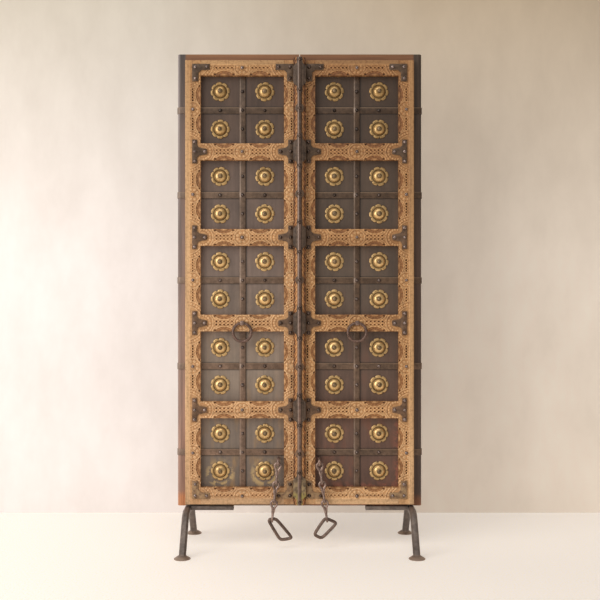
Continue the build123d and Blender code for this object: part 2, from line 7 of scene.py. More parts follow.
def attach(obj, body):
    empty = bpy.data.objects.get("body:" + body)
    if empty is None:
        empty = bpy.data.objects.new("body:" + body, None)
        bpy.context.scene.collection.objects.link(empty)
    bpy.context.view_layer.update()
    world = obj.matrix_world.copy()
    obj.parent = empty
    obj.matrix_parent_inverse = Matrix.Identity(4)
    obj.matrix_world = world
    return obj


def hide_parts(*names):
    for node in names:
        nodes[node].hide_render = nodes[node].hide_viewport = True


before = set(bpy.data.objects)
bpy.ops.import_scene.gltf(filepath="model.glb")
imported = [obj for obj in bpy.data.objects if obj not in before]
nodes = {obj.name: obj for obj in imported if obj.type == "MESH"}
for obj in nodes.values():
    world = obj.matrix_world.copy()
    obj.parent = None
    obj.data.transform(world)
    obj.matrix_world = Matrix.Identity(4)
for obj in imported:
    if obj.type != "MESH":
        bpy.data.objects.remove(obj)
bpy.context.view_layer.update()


# Planks. Two thick teak boards make each leaf, held together by the straps and
# the frame nailed over them. Their face keeps old dark paint, worn and greyer
# low down, and the outer edge of the heel board is bare and weathered.
def tone(red, green, blue):
    """A colour given from 0 to 255 for each channel, as the light value a shader takes."""
    values = []
    for part in (red, green, blue):
        part = part / 255
        values.append(part / 12.92 if part <= 0.04045 else ((part + 0.055) / 1.055) ** 2.4)
    return (*values, 1.0)


def grey(level):
    """A grey of one light value."""
    return (level, level, level, 1.0)


def new_finish(name, roughness, metallic=0.0):
    """A fresh material with its node tree and main shader."""
    finish = bpy.data.materials.new(name)
    finish.use_nodes = True
    shader = finish.node_tree.nodes["Principled BSDF"]
    shader.inputs["Roughness"].default_value = roughness
    shader.inputs["Metallic"].default_value = metallic
    return finish, finish.node_tree, shader


def grain(tree, stretch, scale, detail=6.0, rough=0.6):
    """A noise pattern in the object's own metres, stretched by three factors."""
    place = tree.nodes.new("ShaderNodeTexCoord")
    turn = tree.nodes.new("ShaderNodeMapping")
    turn.inputs["Scale"].default_value = stretch
    noise = tree.nodes.new("ShaderNodeTexNoise")
    noise.inputs["Scale"].default_value = scale
    noise.inputs["Detail"].default_value = detail
    noise.inputs["Roughness"].default_value = rough
    tree.links.new(place.outputs["Object"], turn.inputs["Vector"])
    tree.links.new(turn.outputs["Vector"], noise.inputs["Vector"])
    return noise.outputs["Fac"]


def ramp(tree, value, stops):
    """Colours along a value; stops are (place, colour)."""
    node = tree.nodes.new("ShaderNodeValToRGB")
    elements = node.color_ramp.elements
    elements[0].position, elements[0].color = stops[0]
    elements[1].position, elements[1].color = stops[-1]
    for position, colour in stops[1:-1]:
        elements.new(position).color = colour
    tree.links.new(value, node.inputs["Fac"])
    return node.outputs["Color"]


def fade(tree, value, *stops):
    """Greys along a value; stops are (place, level)."""
    return ramp(tree, value, [(place, grey(level)) for place, level in stops])


def feed(tree, value, socket):
    """Sets a socket to a constant, or links another socket to it."""
    if isinstance(value, bpy.types.NodeSocket):
        tree.links.new(value, socket)
    else:
        socket.default_value = value


def mixed(tree, how, share, first, second):
    """Two colours mixed; share is a number or a socket."""
    node = tree.nodes.new("ShaderNodeMix")
    node.data_type = "RGBA"
    node.blend_type = how
    feed(tree, share, node.inputs[0])
    feed(tree, first, node.inputs[6])
    feed(tree, second, node.inputs[7])
    return node.outputs[2]


def times(tree, first, second):
    """One colour shaded in full by another."""
    return mixed(tree, "MULTIPLY", 1.0, first, second)


def sums(tree, how, first, second):
    """One step of arithmetic on two values; each is a number or a socket."""
    node = tree.nodes.new("ShaderNodeMath")
    node.operation = how
    feed(tree, first, node.inputs[0])
    feed(tree, second, node.inputs[1])
    return node.outputs[0]


def gap(tree, value, middle):
    """How far a value lies from a middle, to either side."""
    return sums(tree, "ABSOLUTE", sums(tree, "SUBTRACT", value, middle), 0.0)


def place_parts(tree):
    """The object's own x, y and z in metres."""
    place = tree.nodes.new("ShaderNodeTexCoord")
    parts = tree.nodes.new("ShaderNodeSeparateXYZ")
    tree.links.new(place.outputs["Object"], parts.inputs["Vector"])
    return parts.outputs


def up_leaf(tree, z):
    """Height as a share of the leaf, 0 at its foot and 1 at its top."""
    return sums(tree, "DIVIDE", sums(tree, "SUBTRACT", z, leaf_low), leaf_high - leaf_low)


def up_door(tree, z):
    """Height as a share of the whole door, 0 on the floor and 1 at the top."""
    return sums(tree, "DIVIDE", z, leaf_high)


def raise_grain(tree, shader, height, distance, strength):
    """Relief on the surface from a height value."""
    bump = tree.nodes.new("ShaderNodeBump")
    bump.inputs["Strength"].default_value = strength
    bump.inputs["Distance"].default_value = distance
    tree.links.new(height, bump.inputs["Height"])
    tree.links.new(bump.outputs["Normal"], shader.inputs["Normal"])


sides = (("left", -1), ("right", 1))
leaf_low, leaf_high = 0.170, 2.075
leaf_middle = 240.75  # mm from the meeting line
panel_lows = [0.2505, 0.6116, 0.9762, 1.3360, 1.6957]
panel_talls = [0.2906, 0.2941, 0.2893, 0.2892, 0.2848]
panel_centres = [low + tall / 2 for low, tall in zip(panel_lows, panel_talls)]
flaked_bosses = ((-0.3349, 0.3167), (-0.1466, 0.3167))
paint_upward = {
    "left": [
        (0.12, tone(116, 102, 91)), (0.31, tone(136, 120, 106)),
        (0.55, tone(110, 93, 84)), (0.88, tone(74, 56, 45)),
    ],
    "right": [(0.12, tone(99, 72, 60)), (0.5, tone(89, 74, 62)), (0.88, tone(66, 49, 36))],
}
wear_colour = {"left": tone(148, 116, 78), "right": tone(122, 76, 56)}
heel_upward = {
    "left": [
        (0.0, tone(214, 142, 92)), (0.022, tone(206, 138, 94)), (0.034, tone(166, 128, 110)),
        (0.3, tone(144, 117, 105)), (0.55, tone(125, 105, 97)), (1.0, tone(80, 69, 64)),
    ],
    "right": [
        (0.0, tone(138, 88, 56)), (0.016, tone(120, 78, 52)), (0.026, tone(80, 62, 52)),
        (0.5, tone(80, 60, 48)), (1.0, tone(70, 55, 43)),
    ],
}
reveal_tones = [(0.35, tone(108, 70, 44)), (0.65, tone(142, 98, 64))]
back_tones = [(0.3, tone(78, 61, 47)), (0.5, tone(112, 89, 70)), (0.7, tone(136, 112, 90))]
for side, sign in sides:
    finish, tree, shader = new_finish(f"{side}_plank_paint", 0.62)
    x, y, z = place_parts(tree)
    share = up_leaf(tree, z)
    paint = ramp(tree, share, paint_upward[side])
    streaks = grain(tree, (60, 60, 2.2), 1.0)
    streaks = fade(tree, streaks, (0.3, 0.72), (0.55, 1.0), (0.75, 1.16))
    paint = mixed(tree, "MULTIPLY", 0.7, paint, streaks)
    patches = fade(tree, grain(tree, (1, 1, 0.6), 9.0), (0.35, 0.72), (0.6, 1.12))
    paint = mixed(tree, "MULTIPLY", 0.8, paint, patches)
    low_down = fade(tree, share, (0.04, 1.0), (0.28, 0.25), (0.6, 0.06))
    worn = fade(tree, grain(tree, (1.4, 1.4, 0.5), 14.0, 8.0), (0.52, 0.0), (0.68, 0.85))
    paint = mixed(tree, "MIX", times(tree, worn, low_down), paint, wear_colour[side])
    if side == "left":
        # Ochre filler shows round the two lowest bosses.
        for boss_x, boss_z in flaked_bosses:
            beside = sums(tree, "POWER", sums(tree, "SUBTRACT", x, boss_x), 2.0)
            beyond = sums(tree, "POWER", sums(tree, "SUBTRACT", z, boss_z - 0.006), 2.0)
            ring = sums(tree, "SQRT", sums(tree, "ADD", beside, beyond), 0.0)
            ring = fade(tree, ring, (0.040, 0.0), (0.047, 1.0), (0.056, 0.8), (0.066, 0.0))
            flakes = fade(tree, grain(tree, (1, 1, 1), 38.0, 8.0), (0.46, 0.0), (0.54, 0.9))
            lower = fade(tree, z, (0.285, 1.0), (0.36, 0.25))
            ochre = times(tree, times(tree, ring, flakes), lower)
            paint = mixed(tree, "MIX", ochre, paint, tone(188, 160, 112))
    else:
        # An older red paint shows low down and beside the outer stile.
        flakes = fade(tree, grain(tree, (1, 1, 1), 42.0, 8.0), (0.46, 0.0), (0.56, 0.9))
        low_edge = fade(tree, z, (0.258, 0.75), (0.276, 0.0))
        far_edge = fade(tree, x, (0.388, 0.0), (0.410, 0.9))
        far_edge = times(tree, far_edge, fade(tree, z, (0.5, 1.0), (0.56, 0.0)))
        red_wear = times(tree, mixed(tree, "LIGHTEN", 1.0, low_edge, far_edge), flakes)
        paint = mixed(tree, "MIX", red_wear, paint, tone(140, 88, 70))
    # Painted shadow: thin dark lines on the paint beside the upright strap and under and over each
    # cross strap, where the straps cast shade.
    shadow_beside_strap = gap(tree, x, sign * leaf_middle / 1000 + 0.0148)
    paint = times(tree, paint, fade(tree, shadow_beside_strap, (0.0022, 0.28), (0.0042, 1.0)))
    for centre in panel_centres:
        shadow_under_strap = gap(tree, z, centre - 0.0153)
        paint = times(tree, paint, fade(tree, shadow_under_strap, (0.0018, 0.4), (0.0036, 1.0)))
        shadow_over_strap = gap(tree, z, centre + 0.0151)
        paint = times(tree, paint, fade(tree, shadow_over_strap, (0.0016, 0.55), (0.0034, 1.0)))
    # The heel edge, the top edge above the frame and the back are bare wood.
    weathered = grain(tree, (50, 50, 2.0), 1.0, 8.0)
    weathered = fade(tree, weathered, (0.33, 0.52), (0.5, 0.95), (0.65, 1.22))
    bare = times(tree, ramp(tree, share, heel_upward[side]), weathered)
    # Painted highlight: a pale line down the rounded outer edge of the left heel, stronger higher
    # up, where the light from the left catches it.
    if side == "left":
        rim = fade(tree, sums(tree, "MULTIPLY", x, -1.0), (0.505, 0.0), (0.511, 1.0))
        heel_edge_highlight = fade(tree, share, (0.55, 0.06), (0.85, 0.45))
        bare = mixed(tree, "MIX", times(tree, rim, heel_edge_highlight), bare, tone(184, 174, 174))
    top_edge = fade(tree, sums(tree, "SUBTRACT", z, 2.0), (0.043, 0.0), (0.046, 1.0))
    reveal = ramp(tree, grain(tree, (2.0, 60, 60), 1.0, 8.0), reveal_tones)
    paint = mixed(tree, "MIX", top_edge, paint, reveal)
    back_wood = ramp(tree, grain(tree, (55, 55, 1.8), 1.0, 8.0), back_tones)
    back_wood = mixed(tree, "MULTIPLY", 0.6, back_wood, patches)
    past_seam = sums(tree, "SUBTRACT", gap(tree, x, 0.0), leaf_middle / 1000)
    seam = fade(tree, gap(tree, past_seam, 0.0), (0.0009, 0.22), (0.0024, 1.0))
    heel_board = ramp(tree, past_seam, [(0.0, grey(1.0)), (0.001, (0.84, 0.82, 0.8, 1))])
    back_wood = times(tree, times(tree, back_wood, seam), heel_board)
    behind = fade(tree, sums(tree, "ADD", y, 0.5), (0.498, 0.0), (0.502, 1.0))
    paint = mixed(tree, "MIX", behind, paint, back_wood)
    outside = fade(tree, gap(tree, x, 0.0), (0.478, 0.0), (0.484, 1.0))
    tree.links.new(mixed(tree, "MIX", outside, paint, bare), shader.inputs["Base Color"])
    raise_grain(tree, shader, grain(tree, (90, 90, 3.0), 1.0, 8.0), 0.0012, 0.7)
    for piece in (f"{side}_heel_plank", f"{side}_meeting_plank"):
        nodes[piece].data.materials.clear()
        nodes[piece].data.materials.append(finish)


# Cross straps and upright straps. Flat bands of forged iron lie on the planks,
# five across each leaf and bent round the heel, with one upright band over
# them. They are nailed down and brown with rust, and their edges that face
# the light carry painted highlights.
def iron_finish(name, dark, light, metallic, roughness, scale=70.0):
    """Forged iron, blotched from dark scale to a lighter rust."""
    finish, tree, shader = new_finish(name, roughness, metallic)
    fine = grain(tree, (1, 1, 1), scale, 8.0, 0.65)
    broad = grain(tree, (1, 1, 1), scale / 6, 4.0)
    base = ramp(tree, fine, [(0.32, dark), (0.68, light)])
    shade = fade(tree, broad, (0.35, 0.72), (0.65, 1.2))
    tree.links.new(mixed(tree, "MULTIPLY", 0.85, base, shade), shader.inputs["Base Color"])
    raise_grain(tree, shader, fine, 0.0009, 0.8)
    return finish


def opened(finish):
    """The node tree of a finish, its colour socket and the colour that feeds it."""
    base = finish.node_tree.nodes["Principled BSDF"].inputs["Base Color"]
    return finish.node_tree, base, base.links[0].from_socket


def forged(piece, softness, finish, body="door"):
    """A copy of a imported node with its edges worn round, which stands in for the node."""
    bpy.ops.object.select_all(action="DESELECT")
    copy = nodes[piece].copy()
    copy.data = nodes[piece].data.copy()
    for key in list(copy.keys()):
        del copy[key]
    copy.parent = None
    copy.name = f"{piece}_forged"
    bpy.context.scene.collection.objects.link(copy)
    copy.select_set(True)
    bpy.context.view_layer.objects.active = copy
    bpy.ops.object.mode_set(mode="EDIT")
    bpy.ops.mesh.select_all(action="SELECT")
    bpy.ops.mesh.remove_doubles(threshold=0.00002)
    bpy.ops.mesh.dissolve_limited(angle_limit=math.radians(1))
    bpy.ops.object.mode_set(mode="OBJECT")
    if softness > 0:
        edges = copy.modifiers.new("edges", "BEVEL")
        edges.width = softness
        edges.segments = 2
        edges.limit_method = "ANGLE"
        edges.angle_limit = math.radians(25)
        bpy.ops.object.modifier_apply(modifier="edges")
    bpy.ops.object.shade_smooth_by_angle(angle=math.radians(40))
    copy.data.materials.clear()
    copy.data.materials.append(finish)
    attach(copy, body)
    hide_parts(piece)
    return copy


strap_tones = {
    "left": (tone(90, 72, 59), tone(124, 102, 86)),
    "right": (tone(74, 58, 46), tone(106, 86, 71)),
}
strap_upward = {
    "left": [
        (0.2, (1.28, 1.23, 1.2, 1)), (0.65, (1.02, 1.02, 1.0, 1)), (0.88, (0.62, 0.6, 0.56, 1)),
    ],
    "right": [
        (0.3, (1.27, 1.22, 1.18, 1)), (0.54, (1.0, 0.93, 0.82, 1)), (0.88, (0.62, 0.56, 0.48, 1)),
    ],
}
strap_half = 0.0135  # m, from the middle of an upright strap to its edge
for side, sign in sides:
    strap_iron = iron_finish(f"{side}_strap_rust", *strap_tones[side], 0.35, 0.46)
    tree, base, rust = opened(strap_iron)
    x, y, z = place_parts(tree)
    rust = times(tree, rust, ramp(tree, up_door(tree, z), strap_upward[side]))
    # Painted highlights: a pale line down the upright strap's left edge, and a pale patch on its
    # left side where it bends over each cross strap.
    beside = sums(tree, "SUBTRACT", x, sign * leaf_middle / 1000)
    from_edge = sums(tree, "ADD", beside, strap_half)
    patchy = fade(tree, grain(tree, (1, 1, 0.4), 34.0), (0.38, 0.2), (0.6, 0.7))
    left_edge_highlight = fade(tree, from_edge, (0.0, 0.0), (0.0008, 1.0), (0.0038, 0.8), (0.0056, 0.0))
    rust = mixed(tree, "MIX", times(tree, left_edge_highlight, patchy), rust, tone(160, 140, 124))
    left_third = fade(tree, from_edge, (0.0, 0.0), (0.0008, 1.0), (0.0072, 0.8), (0.0092, 0.0))
    clear_of_upright = fade(tree, gap(tree, beside, 0.0), (0.0136, 0.0), (0.0142, 0.4))
    for centre in panel_centres:
        above = sums(tree, "SUBTRACT", z, centre)
        crossing_highlight = fade(tree, gap(tree, above, 0.0), (0.007, 0.75), (0.011, 0.0))
        rust = mixed(tree, "MIX", times(tree, crossing_highlight, left_third), rust, tone(176, 156, 142))
        # Painted highlight along the top edge of each cross strap, clear of the upright strap.
        top_edge_highlight = fade(tree, above, (0.0096, 0.0), (0.0108, 1.0), (0.0134, 1.0), (0.0142, 0.0))
        rust = mixed(tree, "MIX", times(tree, top_edge_highlight, clear_of_upright), rust, tone(150, 124, 98))
    # The strap's wrap round the left heel is paler, with a painted highlight on the heel's rounded
    # outer edge, where the light from the left falls.
    if side == "left":
        outward = sums(tree, "MULTIPLY", x, -1.0)
        heel = fade(tree, outward, (0.478, 0.0), (0.484, 0.22), (0.506, 0.22), (0.512, 0.55))
        rust = mixed(tree, "MIX", heel, rust, tone(156, 140, 130))
    tree.links.new(rust, base)
    forged(f"{side}_cross_straps", 0.0011, strap_iron)
    forged(f"{side}_upright_strap", 0.0018, strap_iron)


# Carved frame. Stiles and rails of bare teak are nailed over the planks. Each
# is cut by hand with pockets round half flowers, ribs, rows of small holes and
# a beaded rosette in the middle of every panel side. Measures are in mm.
def rib(away, width):
    """A rounded raised line where away is near nothing."""
    return np.sqrt(np.clip(1 - (away / width) ** 2, 0, 1))


def raised(depth, line, ground, height):
    """The carving with a raised line left standing in it."""
    return np.minimum(depth, np.where(line > 0, ground - height * line, 99))


def carving(along, across, length, holes, middle, crown, ends):
    """Depth of the carving at places along a panel side and across from its edge."""
    row, pitch, count = holes
    ground, rosette_ground, end_ground = 2.3, 2.6, 2.8
    pocket_half, pocket_deep = 36, 20
    rosette, bead_circle, bead_size = 33, 20.5, 6.6
    depth = np.full(along.shape, ground)
    for centre in (0.285 * length, 0.715 * length):
        # A band of crossed lines with a row of small holes.
        away = along - centre
        slope = (across - row) * pitch / 14
        rising = np.abs(np.mod(away + slope, pitch) - pitch / 2)
        falling = np.abs(np.mod(away - slope, pitch) - pitch / 2)
        band = (np.abs(across - row) < 8) & (np.abs(away) < pitch * (count + 1) / 2)
        depth = np.where(band, 2.6 - 2.2 * rib(np.minimum(rising, falling), 1.9), depth)
        for step in range(count):
            shift = away - (step - (count - 1) / 2) * pitch
            hole = (shift / 3.8) ** 2 + ((across - row) / 2.8) ** 2
            deep = 6.6 + 1.4 * np.sin(12.9 * step + 0.37 * length + along.flat[0])
            depth = np.maximum(depth, deep * np.clip(1.6 - hole, 0, 1))
        # A pocket at the edge with a half flower in it, and ribs round it.
        out = np.hypot(away / pocket_half, across / pocket_deep)
        turn = np.arctan2(across / pocket_deep, away / pocket_half)
        petals = 2.7 + 1.3 * np.abs(np.sin(6 * turn)) ** 0.7 + 1.0 * rib(out - 0.55, 0.1)
        petals = np.where(out < 0.36, 1.6 + 1.2 * rib(out - 0.26, 0.1), petals)
        depth = np.where(out < 1.0, petals, depth)
        for place, width in ((1.06, 0.09), (1.34, 0.07)):
            depth = raised(depth, rib(out - place, width) * (across < row - 7), ground, 2.1)
        slot = ((np.abs(away) - 38) / 6.5) ** 2 + ((across - 5) / 4.2) ** 2
        depth = np.maximum(depth, 6.2 * np.clip(1.3 - slot, 0, 1))
    # A rosette of eight beads round a crown in the middle.
    beside = along - length / 2
    beyond = across - middle
    out = np.hypot(beside, beyond)
    depth = np.where(out < rosette, rosette_ground, depth)
    for number in range(8):
        turn = math.pi * (number + 0.5) / 4
        bead_x = beside - bead_circle * math.cos(turn)
        bead = np.hypot(bead_x, beyond - bead_circle * math.sin(turn)) / bead_size
        dome = rosette_ground - rosette_ground * np.sqrt(np.clip(1 - bead ** 2, 0, 1))
        depth = np.where(bead < 1, dome, depth)
    depth = np.where(out < 12.5, crown + 2.0 * rib(out - 9.5, 1.8), depth)
    depth = raised(depth, rib(out - rosette, 2.4) * (across > 0.5), ground, ground)
    # A beaded arc with ribs round the iron plate at each end.
    for centre, reach, bead_ring, rings in ends:
        out = np.hypot(along - centre[0], across - centre[1])
        turn = np.arctan2(across - centre[1], along - centre[0])
        spacing = 11.5 / bead_ring
        off = (np.mod(turn + spacing / 2, spacing) - spacing / 2) * bead_ring
        bead = np.hypot(out - bead_ring, off) / 5.0
        dome = end_ground - end_ground * np.sqrt(np.clip(1 - bead ** 2, 0, 1))
        zone = (out < reach) & (out > bead_ring - 9)
        depth = np.where(zone, np.where(bead < 1, dome, end_ground), depth)
        for place in rings:
            depth = raised(depth, rib(out - place, 2.3) * (across > 0.5), ground, ground)
    return depth


def edge_steps(wide):
    """Places across a board with one carved edge: close in the carving, wider beyond it."""
    return np.concatenate((np.linspace(0, 43, 27), np.linspace(44.5, wide - 1.2, 6), [wide]))


def one_edge(depth, across, wide):
    """The carving of a board with one carved edge: two lines beyond it and worn corners."""
    lines = 1.1 * rib(across - 44, 1.6) + 0.5 * rib(across - 52, 2.5)
    depth = np.where(across > 41.5, lines, depth)
    return depth + np.clip(1.3 - (wide - across), 0, 1.3) + np.clip(1.0 - across, 0, 1) * 0.8


frame_face_m, plank_face_m = -0.031, -0.005
darkest_depth = 7


def carved_board(name, columns, rows, spots, back, lift=0.0):
    """A board with a carved face: spots gives x, z and depth for a grid of columns and rows."""
    last_column, last_row = len(columns) - 1, len(rows) - 1
    bpy.ops.object.select_all(action="DESELECT")
    bpy.ops.mesh.primitive_grid_add(x_subdivisions=last_column, y_subdivisions=last_row, size=1)
    board = bpy.context.object
    board.name = name
    mesh = board.data
    flat = np.zeros(len(mesh.vertices) * 3)
    mesh.vertices.foreach_get("co", flat)
    flat = flat.reshape(-1, 3)
    column = np.rint((flat[:, 0] + 0.5) * last_column).astype(int)
    row = np.rint((flat[:, 1] + 0.5) * last_row).astype(int)
    x, z, depth = (values[row, column] for values in spots)
    mesh.vertices.foreach_set("co", np.column_stack((x, frame_face_m + depth / 1000, z)).ravel())
    cut = mesh.attributes.new("cut", "FLOAT", "POINT")
    cut.data.foreach_set("value", np.clip((depth - lift) / darkest_depth, 0, 1))
    mesh.update()
    bpy.ops.object.mode_set(mode="EDIT")
    bpy.ops.mesh.select_all(action="SELECT")
    bpy.ops.mesh.region_to_loop()
    bpy.ops.mesh.extrude_region_move(TRANSFORM_OT_translate={"value": (0, 0.02, 0)})
    bpy.ops.transform.resize(value=(1, 0, 1), center_override=(0, back, 0))
    bpy.ops.mesh.edge_face_add()
    bpy.ops.mesh.select_all(action="SELECT")
    bpy.ops.mesh.normals_make_consistent(inside=False)
    bpy.ops.object.mode_set(mode="OBJECT")
    bpy.ops.object.shade_smooth_by_angle(angle=math.radians(50))
    return board


fibre_tones = [(0.3, grey(0.68)), (0.5, grey(1.0)), (0.72, grey(1.16))]
band_tones = [(0.35, (0.80, 0.75, 0.70, 1)), (0.6, grey(1.06))]
dirt_tones = [(0.34, (0.58, 0.49, 0.41, 1)), (0.5, grey(1.0)), (0.66, grey(1.18))]
# Dust and painted shade darken the carving by its depth; the shallowest cuts are paler.
hollow_dust_and_shade_tones = [
    (0.03, grey(1.06)), (0.12, (1.3, 1.27, 1.22, 1)), (0.26, (1.08, 1.01, 0.92, 1)),
    (0.34, (0.9, 0.79, 0.66, 1)), (0.44, (0.68, 0.52, 0.37, 1)), (0.62, (0.5, 0.36, 0.24, 1)),
    (1.0, (0.14, 0.09, 0.06, 1)),
]


def teak_finish(name, along_z, low, centre, high):
    """Bare teak with its grain along the board, darkened by dust and painted shade where the
    carving is deep.
    """
    finish, tree, shader = new_finish(name, 0.68)
    fibre = grain(tree, (70, 70, 3.5) if along_z else (3.5, 70, 70), 1.0, 8.0, 0.65)
    bands = grain(tree, (30, 30, 1.6) if along_z else (1.6, 30, 30), 1.0, 5.0)
    dirt = grain(tree, (1, 1, 1), 95.0, 5.0, 0.7)
    x, y, z = place_parts(tree)
    base = ramp(tree, up_leaf(tree, z), [(0.0, low), (0.3, centre), (1.0, high)])
    base = mixed(tree, "MULTIPLY", 0.8, base, ramp(tree, fibre, fibre_tones))
    base = mixed(tree, "MULTIPLY", 0.8, base, ramp(tree, bands, band_tones))
    base = mixed(tree, "MULTIPLY", 0.75, base, ramp(tree, dirt, dirt_tones))
    cut = tree.nodes.new("ShaderNodeAttribute")
    cut.attribute_name = "cut"
    hollow = ramp(tree, cut.outputs["Fac"], hollow_dust_and_shade_tones)
    tree.links.new(times(tree, base, hollow), shader.inputs["Base Color"])
    raise_grain(tree, shader, fibre, 0.0009, 0.6)
    return finish


teak_tones = {
    "left": (tone(190, 153, 115), tone(205, 167, 125), tone(170, 132, 90)),
    "right": (tone(206, 168, 126), tone(192, 152, 107), tone(150, 111, 71)),
}
opening_near, opening_far, opening_long = 65.5, 416.0, 350.5
frame_low, frame_high = 180.0, 2044.5
rail_lows = [541.1, 905.7, 1265.5, 1625.2]
rail_tall = 70.5
carving_step = 1.65
stile_holes, middle_rail_holes, end_rail_holes = (32.5, 11.5, 5), (28.5, 16.0, 5), (32.5, 16.0, 5)
corner_arc = (92, 82, (72, 92))
tip_arc = (45, 33, (45,))
lows = np.array(panel_lows) * 1000
talls = np.array(panel_talls) * 1000
for side, sign in sides:
    teak_up = teak_finish(f"{side}_teak_upright", True, *teak_tones[side])
    teak_across = teak_finish(f"{side}_teak_across", False, *teak_tones[side])
    for label, wide in (("outer_stile", 64.0), ("inner_stile", 63.5)):
        across = edge_steps(wide)
        heights = np.linspace(frame_low, frame_high, int((frame_high - frame_low) / carving_step))
        place, height = np.meshgrid(across, heights)
        panel = np.argmin(np.abs(height[..., None] - (lows + talls / 2)), axis=-1)
        along = height - lows[panel]
        tall = talls[panel]
        wobble = 0.7 * np.sin(height / 31.0 + sign) + 0.5 * np.sin(height / 13.7 + 2 * sign)
        corners = [((-35.2, 60.0), *corner_arc), ((tall + 35.2, 60.0), *corner_arc)]
        depth = carving(
            along + wobble, place + 0.3 * wobble, tall, stile_holes, 32.0, 0.0, corners)
        near_rail = ((along < -2) | (along > tall + 2)) & (place < 41.5)
        depth = np.where(near_rail, np.minimum(depth, 2.0), depth)
        depth = one_edge(depth, place, wide)
        distance = opening_far + place if label == "outer_stile" else opening_near - place
        spots = (sign * distance / 1000, height / 1000, depth)
        stile = carved_board(f"{side}_{label}_carved", across, heights, spots, plank_face_m)
        stile.data.materials.append(teak_up)
        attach(stile, "door")
        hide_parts(f"{side}_{label}")
    boards = [
        (f"rail_{number}", low, low + rail_tall, "both")
        for number, low in enumerate(rail_lows, start=1)
    ]
    boards += [("bottom_rail", frame_low, 250.5, "top"), ("top_rail", 1980.5, frame_high, "bottom")]
    for label, low, high, edges in boards:
        along = np.linspace(0, opening_long, int(opening_long / carving_step))
        if edges == "both":
            heights = np.linspace(low, high, 44)
        elif edges == "bottom":
            heights = low + edge_steps(high - low)
        else:
            heights = high - edge_steps(high - low)
        place, height = np.meshgrid(along, heights)
        wobble = 0.7 * np.sin(place / 29.0 + low) + 0.5 * np.sin(place / 12.3 + 2 * low)
        if edges == "both":
            across = rail_tall / 2 - np.abs(height - (low + high) / 2)
            tips = [((8.0, 35.5), *tip_arc), ((opening_long - 8.0, 35.5), *tip_arc)]
            crown = 0.0 if label == "rail_2" else -1.9
            depth = carving(
                place + wobble, across, opening_long, middle_rail_holes, 35.5, crown, tips)
            depth = depth + np.clip(1.0 - across, 0, 1) * 0.8
        else:
            across = height - low if edges == "bottom" else high - height
            tips = [((-35.5, 60.0), *corner_arc), ((opening_long + 35.5, 60.0), *corner_arc)]
            middle = 32.0 if edges == "bottom" else 38.5
            depth = carving(
                place + wobble, across, opening_long, end_rail_holes, middle, 0.0, tips)
            depth = one_edge(depth, across, high - low)
        spots = ((place + opening_near) * sign / 1000, height / 1000, depth)
        rail = carved_board(f"{side}_{label}_carved", along, heights, spots, plank_face_m)
        rail.data.materials.append(teak_across)
        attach(rail, "door")
        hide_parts(f"{side}_{label}")


# T plates and L plates. Forged iron plates hold the frame's joints: a T where a
# middle rail meets a stile, an L in each corner. They are nailed on the face.
plate_iron = iron_finish("plate_rust", tone(72, 57, 46), tone(116, 97, 81), 0.35, 0.48)
plate_upward = [
    (0.28, (1.5, 1.25, 1.02, 1)), (0.55, (1.08, 0.93, 0.8, 1)), (0.8, (0.8, 0.72, 0.62, 1)),
]
tree, base, rust = opened(plate_iron)
x, y, z = place_parts(tree)
rust = times(tree, rust, ramp(tree, up_door(tree, z), plate_upward))
low_corner = fade(tree, z, (0.25, 1.0), (0.31, 0.0))
limewash = fade(tree, grain(tree, (1, 1, 1), 60.0, 8.0), (0.4, 0.1), (0.58, 0.8))
limewash = times(tree, low_corner, limewash)
tree.links.new(mixed(tree, "MIX", limewash, rust, tone(178, 146, 108)), base)
for side, _ in sides:
    forged(f"{side}_tee_plates", 0.0011, plate_iron)
    forged(f"{side}_corner_plates", 0.0011, plate_iron)


# Brass bosses. Each is pressed from sheet brass with an eight-lobed rim, a sunk
# ring and a dome, and is held to the plank by one large iron nail through it.
boss_profile = [
    (41, 1.6), (39.8, 3.2), (36.5, 4.4), (32, 4.3), (28.6, 3.2), (27.0, 2.4), (25.8, 3.2),
    (24.6, 6.2), (22.4, 10), (19, 13.2), (15.4, 15.4), (12, 16.6), (6, 17),
]
boss_radius = 41
reach, rise = boss_radius, 0
bpy.ops.object.select_all(action="DESELECT")
bpy.ops.mesh.primitive_circle_add(
    vertices=64, radius=boss_radius / 1000, fill_type="NGON", rotation=(math.pi / 2, 0, 0))
boss = bpy.context.object
bpy.ops.object.transform_apply()
bpy.ops.object.mode_set(mode="EDIT")
bpy.ops.mesh.select_all(action="SELECT")
for radius, height in boss_profile:
    step = (0, -(height - rise) / 1000, 0)
    bpy.ops.mesh.extrude_region_move(TRANSFORM_OT_translate={"value": step})
    shrink = radius / reach
    bpy.ops.transform.resize(
        value=(shrink, shrink, shrink), center_override=(0, -height / 1000, 0))
    reach, rise = radius, height
bpy.ops.mesh.select_all(action="SELECT")
bpy.ops.mesh.normals_make_consistent(inside=False)
bpy.ops.object.mode_set(mode="OBJECT")
flat = np.zeros(len(boss.data.vertices) * 3)
boss.data.vertices.foreach_get("co", flat)
flat = flat.reshape(-1, 3)
out = np.hypot(flat[:, 0], flat[:, 2])
dip = 1 - np.abs(np.cos(4 * np.arctan2(flat[:, 2], flat[:, 0])))
weight = np.clip((out - 0.028) / 0.013, 0, 1)
flat[:, [0, 2]] *= (1 - 0.11 * weight * dip ** 2.2)[:, None]
flat[:, 1] += 0.0022 * weight * dip ** 3 * (flat[:, 1] < -0.0012)
boss.data.vertices.foreach_set("co", flat.ravel())
